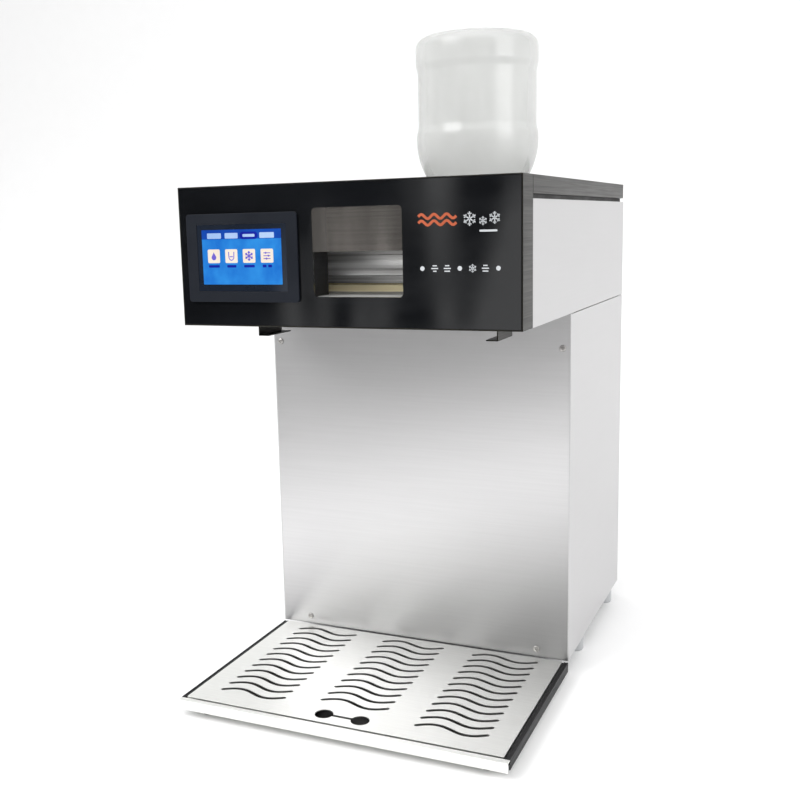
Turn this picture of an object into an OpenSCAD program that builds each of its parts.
// Counter-top snow ice machine: a freezing drum in an overhanging head shaves a
// frozen film into a bowl that stands on a drip tray. Millimetres, +Z up.
// The origin is at the centre of the footprint, on the counter; the front is -Y.

/* [Cabinet] */
// Width of the cabinet, head and drip tray
body_w = 430; // [426:2:450]
// Depth of the head, from the fascia to the back
head_d = 570; // [560:5:600]
// How far the head overhangs the tower
overhang = 225; // [220:5:235]
// Height of the tower from its base to the head
tower_h = 466; // [450:2:500]
// Height of the head with its lid
head_h = 167; // [167:1:180]
// Height of the cabinet's legs
leg_h = 24; // [24:1:30]
// Radius of a leg
leg_r = 13; // [10:1:14]
// Thickness of the sheet steel
sheet = 1.5; // [1.2:0.1:2]

/* [Fascia and lid] */
// Depth of the black fascia
fascia_d = 40; // [36:1:44]
// Height of the lid's rim
lid_rim = 21; // [18:1:24]
// Height of the black gasket under the lid
gasket_h = 5; // [4:1:6]
// Width of the drum window
window_w = 112; // [100:2:116]
// Height of the drum window
window_h = 102; // [96:2:106]
// Height of the clear pane in the window's upper part
pane_h = 50; // [40:1:60]
// Width of the touch module's bezel
bezel_w = 151; // [140:1:151]
// Height of the touch module's bezel
bezel_h = 105; // [96:1:108]

/* [Freezing drum] */
// Sideways place of the drum, window and bottle
line_x = 21; // [18:1:24]
// Radius of the freezing drum
drum_r = 58; // [54:1:58]
// Length of the freezing drum
drum_len = 240; // [220:2:240]
// Radius of the drum's shaft
shaft_r = 10; // [8:1:10]
// Radius of the drum's pulley
drum_pulley_r = 34; // [30:1:36]
// Radius of the motor's pulley
motor_pulley_r = 17; // [14:1:18]

/* [Bottle] */
// Largest radius of the bottle
bottle_r = 90; // [86:1:92]
// Height of the bottle above the lid
bottle_top_h = 217; // [200:1:240]
// Depth of the waist in the bottle's side
waist = 2.6; // [1:0.2:4]
// Wall of the bottle
bottle_wall = 1.6; // [1.2:0.1:2]

/* [Drip tray] */
// How far the tray reaches in front of the head
tray_reach = 60; // [40:5:80]
// Height of the tray's underside above the counter
tray_z = 10; // [9:1:11]
// Height of the tray's rim above its underside
rim_h = 12; // [11:1:13]
// Distance from one drain slot to the next
slot_pitch = 19.6; // [18:0.2:20]
// Width of a drain slot
slot_w = 5.6; // [3:0.1:6]
// Length of a drain slot
slot_len = 90; // [80:1:92]
// Height of a drain slot's wave
slot_wave = 7.3; // [4:0.1:8]
// Radius of a finger hole in the grate
finger_r = 11.5; // [10:0.5:12]

/* [Hidden] */
$fn = 48;

// Heights and depths that the driving dimensions give
half_w = body_w / 2;
total_d = head_d + tray_reach;
y_back = total_d / 2;
y_tray = -total_d / 2;
y_head = y_tray + tray_reach;
y_tower = y_head + overhang;
y_fascia = y_head + fascia_d;
y_skin = y_back - sheet;
z_head = leg_h + tower_h;
z_deck = z_head + sheet;
z_top = z_head + head_h;
z_side = z_top - lid_rim - gasket_h;
inner_w = half_w - sheet;
gap = 0.1;
clear = 0.3;
flange = 14;

// Legs and screws
leg_x = half_w - leg_r - 2;
leg_front_y = y_tower + 101;
leg_rear_y = y_back - 41;
stud_r = 4;
screw_r = 2;
screw_head_r = 4.4;
screw_head_h = 2;
front_screws = [
    [-half_w + 10.5, z_head - 45], [half_w - 10.5, z_head - 45],
    [-half_w + 44, leg_h + 11], [half_w - 44, leg_h + 11]
];
rear_screws = [
    [-half_w + 9, leg_h + 30], [half_w - 9, leg_h + 30], [-half_w + 9, z_head - 60],
    [half_w - 9, z_head - 60], [-half_w + 9, z_side - 30], [half_w - 9, z_side - 30]
];

// Window and touch module
window_x0 = line_x + 0.5 - window_w / 2;
window_z0 = z_head + 36;
glass_t = 4;
bezel_x0 = -half_w + 12;
bezel_z0 = z_head + 29.5;
bezel_t = 3.5;
screen_w = 122;
screen_h = 80;
module_cut = 5;

// Drum line
drum_y = y_head + 150;
drum_z = z_head + 82;
drum_x0 = line_x - drum_len / 2;
drum_x1 = line_x + drum_len / 2;
plate_t = 5;
plate_x0 = drum_x0 - 11 - plate_t;
plate_x1 = drum_x1 + 11;
pulley_x = plate_x1 + 13;
pulley_w = 16;
belt_t = 3;
motor_y = drum_y + 125;
motor_z = drum_z - 32;
trough_r = drum_r + 4;
outlet_w = 152;
outlet_y0 = y_head + 51;
outlet_y1 = y_head + 93;

// Scraper: the blade's front face and the hinge pin it swings on
blade_y = drum_y - drum_r * 0.9;
blade_z = drum_z - sqrt(pow(drum_r + 0.8, 2) - pow(drum_y - blade_y, 2));
pivot_y = blade_y + 7.2;
pivot_z = z_head + 13;

// Bottle, upside down in its seat
bottle_y = y_head + 445;
bottle_z1 = z_top + bottle_top_h;
shoulder_z = z_top + 71;
shoulder_h = 102;
neck_r = 27;
neck_z = shoulder_z - shoulder_h * sqrt(1 - pow(neck_r / bottle_r, 2));
neck_h = 35;
cap_r = 30;

// Refrigeration
fan_x = -85;
fan_z = leg_h + 146;
fan_r = 90;
fan_y = y_back - 83;
comp_x = 102;
comp_y = y_back - 150;

// Drip tray
tray_y1 = y_tower - 1;
rail_w = 6;
grate_x = half_w - 7.5;
grate_y0 = y_tray + 10.5;
grate_y1 = tray_y1 - 2;
grate_top = tray_z + rim_h + 1.5;
slot_row_y = y_tower - 22;
column_x = 133;

module block(x0, x1, y0, y1, z0, z1) {
    translate([x0, y0, z0]) cube([x1 - x0, y1 - y0, z1 - z0]);
}

module rod_x(r, x0, x1, y, z) {
    translate([x0, y, z]) rotate([0, 90, 0]) cylinder(h = x1 - x0, r = r);
}

module rod_y(r, y0, y1, x, z) {
    translate([x, y0, z]) rotate([-90, 0, 0]) cylinder(h = y1 - y0, r = r);
}

module rod_z(r, z0, z1, x, y) {
    translate([x, y, z0]) cylinder(h = z1 - z0, r = r);
}

// A tube that follows straight legs with a brazed ball at each bend
module pipe(points, r) {
    for (i = [0 : len(points) - 2]) {
        leg = points[i + 1] - points[i];
        run = norm(leg);
        translate(points[i])
            rotate([0, acos(leg.z / run), atan2(leg.y, leg.x)])
                cylinder(h = run, r = r);
    }
    // Right-angled elbows: balls whose poles and seam face away from both tubes
    for (i = [1 : 1 : len(points) - 2]) {
        back = (points[i - 1] - points[i]) / norm(points[i - 1] - points[i]);
        ahead = (points[i + 1] - points[i]) / norm(points[i + 1] - points[i]);
        pole = cross(back, ahead);
        seam = -(back + ahead) / norm(back + ahead);
        side = cross(pole, seam);
        translate(points[i])
            multmatrix([
                [seam.x, side.x, pole.x, 0],
                [seam.y, side.y, pole.y, 0],
                [seam.z, side.z, pole.z, 0],
                [0, 0, 0, 1]
            ])
                sphere(r = r * 1.5);
    }
}

// A flat plate in the XZ plane with rounded corners, from y0 to y1
module face_plate(x0, x1, z0, z1, y0, y1, r) {
    block(x0 + r, x1 - r, y0, y1, z0, z1);
    block(x0, x1, y0, y1, z0 + r, z1 - r);
    for (x = [x0 + r, x1 - r], z = [z0 + r, z1 - r])
        rod_y(r, y0, y1, x, z);
}

module mirrored(side) {
    if (side > 0) children();
    else mirror([1, 0, 0]) children();
}

// Cabinet ---------------------------------------------------------------

module base_pan() {
    color("silver") difference() {
        union() {
            block(-inner_w + gap, inner_w - gap, y_tower + 2 * sheet, y_skin - 2 * sheet,
                  leg_h, leg_h + sheet);
            block(-inner_w + flange, inner_w - flange, y_tower + sheet, y_tower + 2 * sheet,
                  leg_h, leg_h + 20);
            block(-inner_w + flange, inner_w - flange, y_skin - 2 * sheet, y_skin - sheet,
                  leg_h, leg_h + 20);
        }
        for (x = [-leg_x, leg_x], y = [leg_front_y, leg_rear_y])
            rod_z(stud_r + 0.2, leg_h - 1, leg_h + 5, x, y);
        cabinet_screw_shanks(0.2);
    }
}

// Leg with a rubber-shod sole, a threaded stud and its nut
module foot(x, y) {
    color("gray") {
        translate([x, y, 0]) cylinder(h = 3, r1 = leg_r - 1.5, r2 = leg_r);
        rod_z(leg_r, 3, leg_h - 4, x, y);
        rod_z(leg_r - 2, leg_h - 4, leg_h, x, y);
        rod_z(stud_r, leg_h, leg_h + 9, x, y);
    }
    color("silver") difference() {
        translate([x, y, leg_h + sheet]) cylinder(h = 5, r = 7.5, $fn = 6);
        rod_z(stud_r + 0.05, leg_h, leg_h + 10, x, y);
    }
}

module corner_posts() {
    x = inner_w - gap;
    front = y_tower + 2 * sheet + gap;
    rear = y_skin - 2 * sheet - gap;
    color("silver") difference() {
        for (side = [-1, 1]) mirrored(side) {
            block(x - 20, x, front, front + 2, leg_h + sheet, z_head);
            block(x - 2, x, front, front + 20, leg_h + sheet, z_head);
            block(x - 20, x, rear - 2, rear, leg_h + sheet, z_head);
            block(x - 2, x, rear - 20, rear, leg_h + sheet, z_head);
        }
        cabinet_screw_shanks(0.2);
    }
}

module tower_front_panel() {
    color("silver") difference() {
        block(-inner_w + gap, inner_w - gap, y_tower, y_tower + sheet, leg_h, z_head - 1);
        cabinet_screw_shanks(0.2);
    }
}

// Skin with folded edges that the front and back panels screw to
module side_skin(y0, z0, z1, front_flange) {
    block(inner_w, half_w, y0, y_skin, z0, z1);
    block(inner_w - flange, inner_w, y_skin - 2 * sheet, y_skin - sheet, z0, z1);
    if (front_flange)
        block(inner_w - flange, inner_w, y0 + sheet, y0 + 2 * sheet, z0, z1);
}

module tower_side(side) {
    color("silver") difference() {
        mirrored(side) side_skin(y_tower, leg_h, z_head - 1, true);
        cabinet_screw_shanks(0.2);
        if (side < 0)
            for (row = [0 : 11], bank = [0 : 1])
                translate([-half_w - 1, y_tower + 150 + 75 * bank, leg_h + 60 + 17 * row])
                    cube([sheet + 2, 58, 5]);
    }
}

module head_side(side) {
    color("silver") difference() {
        mirrored(side) {
            side_skin(y_fascia + gap, z_head, z_side, false);
            block(inner_w - flange, inner_w, y_fascia + 6, y_skin - 2 * sheet,
                  z_side - sheet, z_side);
        }
        block(-inner_w + gap, inner_w - gap, y_fascia, y_back, z_head - 1, z_deck);
        cabinet_screw_shanks(0.2);
    }
}

module back_panel() {
    color("silver") difference() {
        block(-inner_w + gap, inner_w - gap, y_skin - sheet, y_skin, leg_h, z_side);
        for (row = [0 : 12], bank = [0 : 1])
            translate([fan_x - 92 + 96 * bank, y_skin - 4, fan_z - 85 + 14 * row])
                cube([88, 6, 5]);
        block(149.8, 178.2, y_skin - 3, y_skin + 1, leg_h + 36.8, leg_h + 61.2);
        block(152.8, 174.2, y_skin - 3, y_skin + 1, leg_h + 79.8, leg_h + 108.2);
        cabinet_screw_shanks(0.2);
    }
}

// Deck between the tower and the head, and the underside of the overhang
module head_deck() {
    color("silver") difference() {
        block(-inner_w + gap, inner_w - gap, y_fascia, y_skin - 2 * sheet, z_head, z_deck);
        block(line_x - outlet_w / 2, line_x + outlet_w / 2, outlet_y0, outlet_y1,
              z_head - 1, z_deck + 1);
        rod_z(10, z_head - 1, z_deck + 1, -150, 40);
        rod_z(7, z_head - 1, z_deck + 1, -176, 20);
    }
}

module cabinet_screw_shanks(clearance) {
    for (p = front_screws)
        rod_y(screw_r + clearance, y_tower - 1, y_tower + 8, p.x, p.y);
    for (p = rear_screws)
        rod_y(screw_r + clearance, y_skin - 10, y_skin + 0.5, p.x, p.y);
}

module cabinet_screws() {
    color("lightgray") {
        for (p = front_screws) {
            rod_y(screw_r, y_tower, y_tower + 8, p.x, p.y);
            rod_y(screw_head_r, y_tower - 1, y_tower, p.x, p.y);
            translate([p.x, y_tower - screw_head_h, p.y]) rotate([-90, 0, 0])
                cylinder(h = 1, r1 = screw_head_r - 1.6, r2 = screw_head_r);
        }
        for (p = rear_screws) {
            rod_y(screw_r, y_skin - 10, y_skin, p.x, p.y);
            rod_y(screw_head_r, y_skin, y_back, p.x, p.y);
        }
    }
}

// Head ------------------------------------------------------------------

// Black steel surround with a web that backs the glass
module fascia_frame() {
    web_y = y_head + glass_t + gap;
    color("dimgray") difference() {
        block(-half_w, half_w, y_head, y_fascia, z_head, z_top);
        block(-inner_w, inner_w, y_head - 1, web_y, z_deck, z_top - sheet);
        block(-inner_w, inner_w, web_y + sheet, y_fascia + 1, z_deck, z_top - sheet);
        block(window_x0, window_x0 + window_w, web_y - 1, web_y + sheet + 1,
              window_z0, window_z0 + window_h);
        module_opening(web_y - 1, web_y + sheet + 1, 0.5);
    }
}

module module_opening(y0, y1, clearance) {
    block(bezel_x0 + module_cut - clearance, bezel_x0 + bezel_w - module_cut + clearance,
          y0, y1, bezel_z0 + module_cut - clearance, bezel_z0 + bezel_h - module_cut + clearance);
}

module front_glass() {
    color("black") difference() {
        block(-inner_w + 0.3, inner_w - 0.3, y_head, y_head + glass_t,
              z_deck + 0.3, z_top - sheet - 0.3);
        face_plate(window_x0, window_x0 + window_w, window_z0, window_z0 + window_h,
                   y_head - 1, y_head + glass_t + 1, 5);
        module_opening(y_head - 1, y_head + glass_t + 1, 0.5);
    }
}

module window_pane() {
    top = window_z0 + window_h - 0.2;
    color([0.4, 0.4, 0.4, 0.5]) intersection() {
        face_plate(window_x0 + 0.2, window_x0 + window_w - 0.2, window_z0 + 0.2, top,
                   y_head + 0.4, y_head + 3, 4.8);
        block(window_x0, window_x0 + window_w, y_head, y_head + 4, top - pane_h, top + 1);
    }
}

// Black tunnel from the window to the drum
module window_shroud() {
    y0 = y_head + glass_t + gap + sheet;
    color("dimgray") difference() {
        block(window_x0 - sheet, window_x0 + window_w + sheet, y0, y_fascia,
              window_z0 - sheet, window_z0 + window_h + sheet);
        block(window_x0, window_x0 + window_w, y0 - 1, y_fascia + 1,
              window_z0, window_z0 + window_h);
    }
}

module touch_module() {
    screen_x0 = bezel_x0 + (bezel_w - screen_w) / 2;
    screen_z0 = bezel_z0 + (bezel_h - screen_h) / 2;
    color("darkslategray") difference() {
        union() {
            face_plate(bezel_x0, bezel_x0 + bezel_w, bezel_z0, bezel_z0 + bezel_h,
                       y_head - bezel_t, y_head - 1.2, 4);
            face_plate(bezel_x0 + 0.8, bezel_x0 + bezel_w - 0.8, bezel_z0 + 0.8,
                       bezel_z0 + bezel_h - 0.8, y_head - 1.2, y_head, 3);
            module_opening(y_head - 1, y_head + 32, 0);
        }
        block(screen_x0, screen_x0 + screen_w, y_head - bezel_t - 1, y_head - bezel_t + 1.5,
              screen_z0, screen_z0 + screen_h);
    }
}

module touch_screen() {
    screen_x0 = bezel_x0 + (bezel_w - screen_w) / 2;
    screen_z0 = bezel_z0 + (bezel_h - screen_h) / 2;
    color("royalblue")
        block(screen_x0 + 0.2, screen_x0 + screen_w - 0.2, y_head - bezel_t + 0.5,
              y_head - bezel_t + 1.4, screen_z0 + 0.2, screen_z0 + screen_h - 0.2);
}

module lid_gasket() {
    color("black") difference() {
        block(-half_w + 4, half_w - 4, y_fascia + 1, y_back - 9, z_side, z_side + gasket_h);
        block(-half_w + 12, half_w - 12, y_fascia + 9, y_back - 17, z_side - 1,
              z_side + gasket_h + 1);
    }
}

// Lift-off lid with a return flange that rests on the gasket
module top_lid() {
    z0 = z_side + gasket_h + clear;
    y0 = y_fascia + clear;
    y1 = y_back - 5;
    color("dimgray") difference() {
        block(-half_w, half_w, y0, y1, z0, z_top);
        block(-inner_w, inner_w, y0 + sheet, y1 - sheet, z0 + sheet, z_top - sheet);
        block(-inner_w + flange, inner_w - flange, y0 + sheet + flange, y1 - sheet - flange,
              z0 - 1, z0 + sheet + 1);
        rod_z(73, z_top - 5, z_top + 1, line_x, bottle_y);
    }
}

// Slide-in channels under the overhang for the bowl guard
module outlet_bracket(x, side) {
    y0 = y_fascia + 2;
    y1 = y_fascia + 60;
    color("dimgray") {
        block(min(x, x + side * sheet), max(x, x + side * sheet), y0, y1, z_head - 16, z_head);
        block(min(x, x - side * 13), max(x, x - side * 13), y0, y1,
              z_head - 16, z_head - 16 + sheet);
        block(min(x, x + side * 14), max(x, x + side * 14), y0, y1, z_head - sheet, z_head);
    }
}

module snow_chute() {
    color("white") difference() {
        block(line_x - outlet_w / 2 - sheet, line_x + outlet_w / 2 + sheet,
              outlet_y0 - sheet, outlet_y1 + sheet, z_deck, z_deck + 22);
        block(line_x - outlet_w / 2, line_x + outlet_w / 2, outlet_y0, outlet_y1,
              z_deck - 1, z_deck + 23);
        block(line_x - outlet_w, line_x + outlet_w, outlet_y1 - 12, outlet_y1 + 9,
              z_deck + 7, z_deck + 23);
    }
}

// Drum and scraper ------------------------------------------------------

module drum_side_plates() {
    color("silver") for (x = [plate_x0, plate_x1]) difference() {
        union() {
            block(x, x + plate_t, pivot_y - 18, drum_y + 60, z_deck, z_head + 40);
            block(x, x + plate_t, drum_y - 40, drum_y + 60, z_head + 40, drum_z + 34);
        }
        rod_x(16.05, x - 1, x + plate_t + 1, drum_y, drum_z);
        rod_x(3.06, x - 1, x + plate_t + 1, pivot_y, pivot_z);
    }
}

module drum_bearings() {
    color("lightgray") for (x = [plate_x0, plate_x1]) difference() {
        union() {
            rod_x(16, x, x + plate_t, drum_y, drum_z);
            rod_x(19, x < 0 ? x - 3 : x + plate_t, x < 0 ? x : x + plate_t + 3,
                  drum_y, drum_z);
        }
        rod_x(shaft_r + 0.05, x - 9, x + plate_t + 9, drum_y, drum_z);
    }
}

// Polished cylinder with closed ends and a bore for the shaft
module drum_shell() {
    color("lightgray") difference() {
        union() {
            rod_x(drum_r, drum_x0, drum_x1, drum_y, drum_z);
            rod_x(16, drum_x0 - 6, drum_x1 + 6, drum_y, drum_z);
        }
        rod_x(drum_r - 3, drum_x0 + 4, drum_x1 - 4, drum_y, drum_z);
        rod_x(shaft_r + 0.02, drum_x0 - 7, drum_x1 + 7, drum_y, drum_z);
    }
}

module drum_shaft() {
    color("gray") {
        rod_x(shaft_r, plate_x0 - 44, pulley_x + pulley_w + 4, drum_y, drum_z);
    }
    color("silver") difference() {
        belt_pulley(drum_pulley_r, drum_y, drum_z);
        rod_x(shaft_r + 0.02, pulley_x - 1, pulley_x + pulley_w + 1, drum_y, drum_z);
    }
}

module belt_pulley(r, y, z) {
    rod_x(r, pulley_x, pulley_x + pulley_w, y, z);
    for (x = [pulley_x, pulley_x + pulley_w - 1.5])
        rod_x(r + 4, x, x + 1.5, y, z);
}

module motor_pulley() {
    color("silver") {
        belt_pulley(motor_pulley_r, motor_y, motor_z);
        rod_x(7, plate_x1 - 3, pulley_x, motor_y, motor_z);
    }
}

module drive_belt() {
    module loop(extra) {
        hull() {
            translate([drum_y, drum_z]) circle(r = drum_pulley_r + extra, $fn = 64);
            translate([motor_y, motor_z]) circle(r = motor_pulley_r + extra, $fn = 48);
        }
    }
    color("black") translate([pulley_x + 2, 0, 0]) rotate([90, 0, 90])
        linear_extrude(pulley_w - 4) difference() {
            loop(belt_t + 0.3);
            loop(0.3);
        }
}

module gear_motor() {
    color("slategray") {
        difference() {
            union() {
                rod_x(38, plate_x1 - 97, plate_x1 - 25, motor_y, motor_z);
                rod_x(34, plate_x1 - 25, plate_x1, motor_y, motor_z);
            }
            rod_x(7.06, plate_x1 - 6, plate_x1 + 1, motor_y, motor_z);
        }
        rod_x(30, plate_x1 - 107, plate_x1 - 97, motor_y, motor_z);
    }
}

module motor_bracket() {
    color("silver") difference() {
        union() {
            block(plate_x1, plate_x1 + 4, motor_y - 42, motor_y + 42, z_deck, motor_z + 42);
            block(plate_x1 - 60, plate_x1, motor_y - 42, motor_y + 42, z_deck, z_deck + 3);
        }
        rod_x(7.5, plate_x1 - 1, plate_x1 + 5, motor_y, motor_z);
    }
}

// Pan that wets the underside of the drum
module liquid_trough() {
    x0 = drum_x0 - 5.5;
    x1 = drum_x1 + 5.5;
    wall = 2.5;
    color("white") difference() {
        union() {
            rod_x(trough_r + wall, x0, x1, drum_y, drum_z);
            for (x = [x0 + 20, x1 - 40])
                block(x, x + 20, drum_y - 12, drum_y + 12, z_deck, drum_z - trough_r);
        }
        rod_x(trough_r, x0 + wall, x1 - wall, drum_y, drum_z);
        block(x0 - 1, x1 + 1, drum_y - 90, drum_y - 30, drum_z - 90, drum_z + 90);
        block(x0 - 1, x1 + 1, drum_y - 90, drum_y + 90, drum_z - 20, drum_z + 90);
    }
}

// Section in the YZ plane, run along the drum's length
module drum_long(points) {
    translate([drum_x0 + 2, 0, 0]) rotate([90, 0, 90])
        linear_extrude(drum_len - 4) polygon(points);
}

module scraper_blade() {
    color("silver") drum_long([
        [blade_y, z_head + 20], [blade_y, blade_z], [blade_y + 2, blade_z - 3.6],
        [blade_y + 2, z_head + 20]
    ]);
}

module blade_clamp() {
    color("gold") drum_long([
        [blade_y, z_head + 36], [blade_y, z_head + 46], [blade_y - 1.5, z_head + 46],
        [blade_y - 4, z_head + 44], [blade_y - 4, z_head + 36]
    ]);
}

// Bar behind the blade with the hinge pins at its ends
module blade_holder() {
    color("silver") {
        block(plate_x0 + plate_t + 1, plate_x1 - 1, blade_y + 2, blade_y + 12,
              z_head + 8, z_head + 35);
        rod_x(3, plate_x0 - 2, plate_x0 + plate_t + 2, pivot_y, pivot_z);
        rod_x(3, plate_x1 - 2, plate_x1 + plate_t + 2, pivot_y, pivot_z);
    }
}

module rotary_joint() {
    x = plate_x0 - 46;
    color("goldenrod") difference() {
        union() {
            rod_x(16, x - 12, x + 22, drum_y, drum_z);
            block(x - 6, x + 10, drum_y - 6, drum_y + 6, z_deck, drum_z);
        }
        rod_x(shaft_r + 0.05, x + 1, x + 23, drum_y, drum_z);
    }
}

// Liquid feed -----------------------------------------------------------

// Funnel that carries the bottle's shoulder
module bottle_seat() {
    color("white") translate([line_x, bottle_y, 0]) rotate_extrude()
        polygon([
            [67.6, z_top + 3], [80, z_top + 3], [80, z_top + 0.1], [72, z_top + 0.1],
            [72, z_top - 4], [63.5, z_top - 9], [51.5, z_top - 19], [37, z_top - 30],
            [37, z_top - 35], [34, z_top - 35], [34, z_top - 28], [48.5, z_top - 17],
            [60.5, z_top - 7]
        ]);
}

module feed_reservoir() {
    color("white") translate([line_x, bottle_y, 0]) difference() {
        union() {
            cylinder_between(45, z_head + 50, z_top - 42, 0, 0);
            cylinder_between(6, z_head + 40, z_head + 50, 0, 0);
            for (a = [45 : 90 : 315])
                rotate(a) translate([36, 0, z_deck]) cylinder(h = z_head + 50 - z_deck, r = 5);
        }
        cylinder_between(42, z_head + 53, z_top - 41, 0, 0);
        cylinder_between(3, z_head + 39, z_head + 54, 0, 0);
    }
}

module cylinder_between(r, z0, z1, x, y) {
    rod_z(r, z0, z1, x, y);
}

module water_bottle() {
    dome_steps = 14;
    dome = [for (i = [0 : dome_steps])
        let (z = neck_z + (shoulder_z - neck_z) * i / dome_steps)
        [bottle_r * sqrt(1 - pow((shoulder_z - z) / shoulder_h, 2)), z]];
    upper = bottle_z1 - 48;
    outline = concat(
        [[neck_r, neck_z - neck_h + 8]], dome,
        [[bottle_r, shoulder_z + 8], [bottle_r - waist, shoulder_z + 18],
         [bottle_r - waist, upper], [bottle_r, upper + 8]],
        [for (a = [0 : 15 : 90])
            [bottle_r - 22 + 22 * cos(a), bottle_z1 - 22 + 22 * sin(a)]],
        [[bottle_r - 40, bottle_z1 - 1.5], [0, bottle_z1 - 8]]);
    inside = [for (i = [len(outline) - 1 : -1 : 0])
        [max(0, outline[i].x - bottle_wall * (outline[i].x > 60 ? 1 : 1.3)),
         i > len(outline) - 6 ? outline[i].y - bottle_wall : outline[i].y]];
    color([0.9, 0.95, 1, 0.5]) translate([line_x, bottle_y, 0]) rotate_extrude()
        polygon(concat(outline, inside));
}

// Screw cap with the valve that the seat's probe would open
module bottle_cap() {
    z0 = neck_z - neck_h;
    color("dodgerblue") difference() {
        rod_z(cap_r, z0, z0 + 18, line_x, bottle_y);
        rod_z(neck_r + 0.1, z0 + 7.9, z0 + 20, line_x, bottle_y);
    }
}

module feed_pump() {
    color("slategray") {
        block(-75, -25, 95, 135, z_deck, z_deck + 40);
        rod_x(12, -25, -8, 115, z_deck + 20);
    }
}

module feed_hoses() {
    z = z_head + 22;
    color("white") {
        pipe([[line_x, bottle_y, z_head + 40], [line_x, bottle_y, z],
              [-50, bottle_y, z], [-50, 135, z]], 4);
        pipe([[-50, 95, z], [-50, drum_y + 33, z]], 4);
    }
}

// Refrigeration and electrics -------------------------------------------

module compressor() {
    z0 = leg_h + sheet + 14;
    color("black") {
        translate([comp_x, comp_y, z0 + 3]) cylinder(h = 12, r1 = 52, r2 = 66);
        rod_z(66, z0 + 15, z0 + 130, comp_x, comp_y);
        translate([comp_x, comp_y, z0 + 130]) cylinder(h = 26, r1 = 66, r2 = 38);
        rod_z(38, z0 + 156, z0 + 160, comp_x, comp_y);
        block(comp_x - 80, comp_x + 80, comp_y - 60, comp_y + 60, z0, z0 + 3);
        for (x = [-68, 68], y = [-48, 48])
            rod_z(9, leg_h + sheet, z0, comp_x + x, comp_y + y);
    }
}

module condenser() {
    x0 = fan_x - 100;
    y0 = fan_y - 50;
    color("silver") {
        for (i = [0 : 14])
            block(x0 + i * 14, x0 + i * 14 + 1.6, y0, y0 + 40, fan_z - 105, fan_z + 105);
        for (x = [x0 - 2.5, x0 + 199])
            block(x, x + 1.5, y0, y0 + 40, leg_h + sheet, fan_z + 105);
        for (row = [0 : 5], col = [0 : 1])
            rod_x(4, x0 - 4, x0 + 201, y0 + 12 + 16 * col, fan_z - 85 + 34 * row);
    }
}

module fan_shroud() {
    y0 = fan_y - 9;
    color("gray") difference() {
        union() {
            block(fan_x - 104, fan_x + 104, y0, y0 + 1.5, leg_h + sheet, fan_z + 105);
            rod_y(fan_r + 7, y0, y0 + 30, fan_x, fan_z);
            block(fan_x - 104, fan_x + 104, y0 + 28, y0 + 30, fan_z - 8, fan_z + 8);
        }
        difference() {
            rod_y(fan_r + 5, y0 - 1, y0 + 31, fan_x, fan_z);
            block(fan_x - 104, fan_x + 104, y0 + 28, y0 + 30, fan_z - 8, fan_z + 8);
        }
        rod_y(5, y0 + 20, y0 + 40, fan_x, fan_z);
    }
}

module fan_motor() {
    y0 = fan_y + 21;
    color("dimgray") difference() {
        union() {
            rod_y(28, y0, y0 + 34, fan_x, fan_z);
            rod_y(18, y0 + 34, y0 + 42, fan_x, fan_z);
        }
        rod_y(4.06, y0 - 1, y0 + 21, fan_x, fan_z);
    }
}

module fan_blades() {
    y0 = fan_y - 2;
    color("black") {
        for (i = [0 : 4])
            translate([fan_x, y0 + 10, fan_z]) rotate([0, 72 * i, 0])
                translate([20, 0, 0]) rotate([32, 0, 0])
                    translate([0, -1, -17]) cube([66, 2, 34]);
        rod_y(24, y0, y0 + 20, fan_x, fan_z);
        rod_y(4, y0 + 20, y0 + 42, fan_x, fan_z);
    }
}

module filter_drier() {
    color("peru") {
        rod_z(10, leg_h + 130, leg_h + 215, 180, 60);
        for (z = [leg_h + 118, leg_h + 215])
            rod_z(4, z, z + 12, 180, 60);
    }
}

module refrigerant_pipes() {
    top = leg_h + sheet + 174;
    z1 = leg_h + 266;
    z2 = leg_h + 286;
    color("peru") {
        pipe([[comp_x - 20, comp_y, top], [comp_x - 20, comp_y, z1], [-150, comp_y, z1],
              [-150, 40, z1], [-150, 40, drum_z], [-150, drum_y + 16.2, drum_z]], 4);
        pipe([[180, 60, leg_h + 227], [180, 60, z2], [-176, 60, z2], [-176, 20, z2],
              [-176, 20, z_head + 30], [-176, drum_y, z_head + 30],
              [plate_x0 - 52, drum_y, z_head + 30]], 2.5);
    }
}

module control_box() {
    z0 = leg_h + 226;
    color("lightgray") difference() {
        block(10, 170, -15, 45, z0, z0 + 160);
        block(12, 168, -13, 43, z0 + 2, z0 + 158);
        block(80, 100, 40, 47, z0 + 40, z0 + 70);
    }
}

module main_board() {
    z0 = leg_h + 226;
    color("green") {
        block(18, 162, -11, -9, z0 + 8, z0 + 152);
        block(30, 70, -9, 13, z0 + 20, z0 + 60);
        block(110, 140, -9, 5, z0 + 90, z0 + 120);
        for (i = [0 : 3])
            block(30 + 30 * i, 50 + 30 * i, -9, 3, z0 + 130, z0 + 144);
    }
}

module power_inlet() {
    y1 = y_skin;
    z0 = leg_h + 37;
    color("black") difference() {
        union() {
            block(150, 178, y1 - 22, y1 + 0.6, z0, z0 + 24);
            block(145, 183, y1, y1 + 1.4, z0 - 4, z0 + 28);
        }
        block(153, 175, y1 - 16, y1 + 3, z0 + 4, z0 + 20);
    }
    color("silver") for (x = [158, 164, 170])
        block(x - 1, x + 1, y1 - 16, y1 - 4, z0 + 9, z0 + 15);
}

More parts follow.
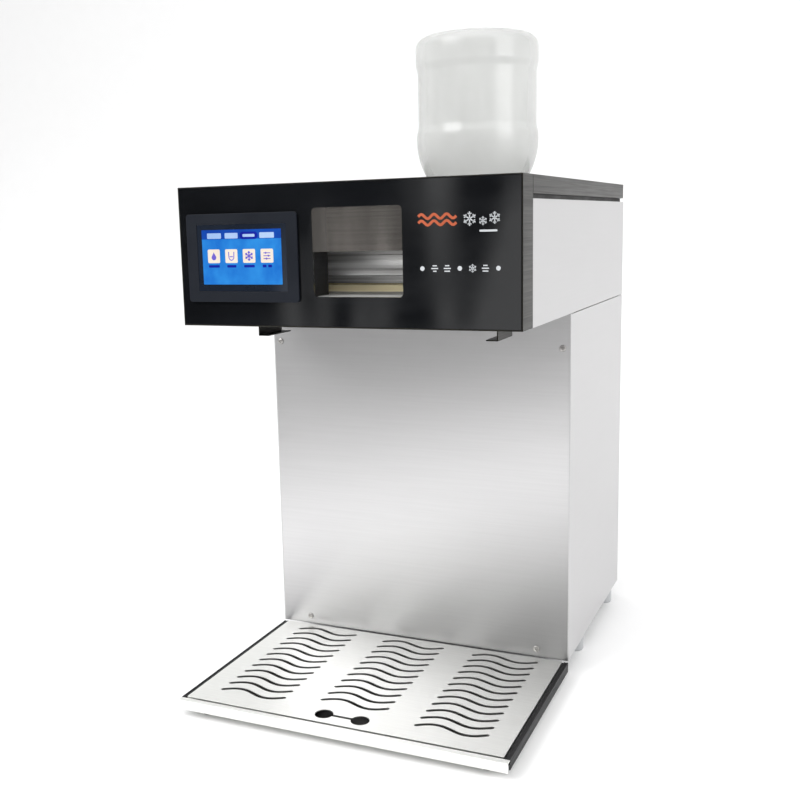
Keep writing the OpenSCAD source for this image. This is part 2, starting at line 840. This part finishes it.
module switch_housing() {
    z0 = leg_h + 80;
    color("black") difference() {
        union() {
            block(153, 174, y_skin - 20, y_skin + 0.4, z0, z0 + 28);
            block(151, 176, y_skin, y_skin + 1, z0 - 2, z0 + 30);
        }
        block(155.5, 171.5, y_skin - 12, y_skin + 2, z0 + 3, z0 + 25);
        rod_x(1.26, 153.6, 173.4, y_skin - 6, z0 + 14);
    }
}

// Rocker that see-saws about its middle
module power_rocker() {
    color("firebrick") translate([0, y_skin - 6, leg_h + 94]) {
        translate([156, 0, 0]) rotate([7, 0, 0]) rotate([90, 0, 90])
            linear_extrude(15) polygon([
                [-3.5, -3], [-3.5, 3], [1, 10], [6, 10], [4.4, 0], [6, -10], [1, -10]
            ]);
        rod_x(1.2, 153.9, 173.1, 0, 0);
    }
}

// Drip tray -------------------------------------------------------------

module drip_tray() {
    in_x = half_w - rail_w;
    top = tray_z + rim_h;
    color("whitesmoke") {
        block(-in_x, in_x, y_tray + 1.5, tray_y1, tray_z, tray_z + 1.5);
        block(-half_w, half_w, y_tray, y_tray + 1.5, tray_z, top);
        block(-half_w, half_w, y_tray, y_tray + 9, top - 1.5, top);
        block(-in_x, in_x, tray_y1 - 1.5, tray_y1, tray_z, top - 1);
    }
}

// Black channels that close the tray's sides
module tray_rails() {
    in_x = half_w - rail_w + 0.05;
    top = tray_z + rim_h + 0.3;
    color("black") for (side = [-1, 1]) mirrored(side) {
        block(in_x, in_x + 1.5, y_tray + 9.1, tray_y1, tray_z - 0.5, top);
        block(half_w - 1.5, half_w, y_tray + 9.1, tray_y1, tray_z - 0.5, top);
        block(in_x, half_w, y_tray + 9.1, tray_y1, top - 2, top - 0.5);
    }
}

module tray_pads() {
    color("black")
        for (x = [-185, 185], y = [y_tray + 25, y_tower - 35]) rod_z(9, 0, tray_z, x, y);
}

// One S-shaped drain slot, centred on the origin, in the XY plane
module wave_slot() {
    steps = 12;
    function mid(x) = [x, 0.08 * x - slot_wave * sin(360 * x / (slot_len - 4))];
    line = [for (i = [0 : steps]) mid(-slot_len / 2 + slot_len * i / steps)];
    slope = [for (i = [0 : steps])
        let (a = line[max(0, i - 1)], b = line[min(steps, i + 1)])
        (b - a) / norm(b - a)];
    side_a = [for (i = [0 : steps]) line[i] + [-slope[i].y, slope[i].x] * slot_w / 2];
    side_b = [for (i = [steps : -1 : 0]) line[i] - [-slope[i].y, slope[i].x] * slot_w / 2];
    polygon(concat(side_a, side_b));
}

// Folded sheet with wave slots and a two-finger lifting hole
module drip_grate() {
    edge = 1.2;
    z0 = tray_z + 1.7;
    color("whitesmoke") {
        translate([0, 0, grate_top - edge]) linear_extrude(edge) difference() {
            translate([-grate_x, grate_y0]) square([2 * grate_x, grate_y1 - grate_y0]);
            for (col = [-1 : 1], row = [0 : (col == 0 ? 10 : 11)])
                translate([col * column_x, slot_row_y - slot_pitch * row]) wave_slot();
            for (x = [-24, 24])
                translate([x, y_head - 30]) circle(r = finger_r);
            translate([-24, y_head - 32.2]) square([48, 4.4]);
        }
        difference() {
            block(-grate_x, grate_x, grate_y0, grate_y1, z0, grate_top - edge);
            block(-grate_x + edge, grate_x - edge, grate_y0 + edge, grate_y1 - edge,
                  z0 - 1, grate_top);
        }
    }
}

base_pan();
foot(-leg_x, leg_front_y);  // foot_front_left
foot(leg_x, leg_front_y);  // foot_front_right
foot(-leg_x, leg_rear_y);  // foot_rear_left
foot(leg_x, leg_rear_y);  // foot_rear_right
corner_posts();
tower_front_panel();
tower_side(-1);  // tower_side_left
tower_side(1);  // tower_side_right
head_side(-1);  // head_side_left
head_side(1);  // head_side_right
back_panel();
head_deck();
fascia_frame();
front_glass();
window_pane();
window_shroud();
touch_module();
touch_screen();
lid_gasket();
outlet_bracket(line_x - 154, -1);  // outlet_bracket_left
outlet_bracket(line_x + 152, 1);  // outlet_bracket_right
snow_chute();
drum_side_plates();
drum_bearings();
liquid_trough();
rotary_joint();
gear_motor();
motor_bracket();
drive_belt();
feed_reservoir();
feed_pump();
feed_hoses();
compressor();
condenser();
fan_shroud();
fan_motor();
filter_drier();
refrigerant_pipes();
control_box();
main_board();
power_inlet();
switch_housing();
cabinet_screws();
top_lid();
bottle_seat();
water_bottle();
bottle_cap();
drum_shell();
drum_shaft();
motor_pulley();
fan_blades();
scraper_blade();
blade_clamp();
blade_holder();
power_rocker();
drip_tray();
tray_rails();
tray_pads();
drip_grate();
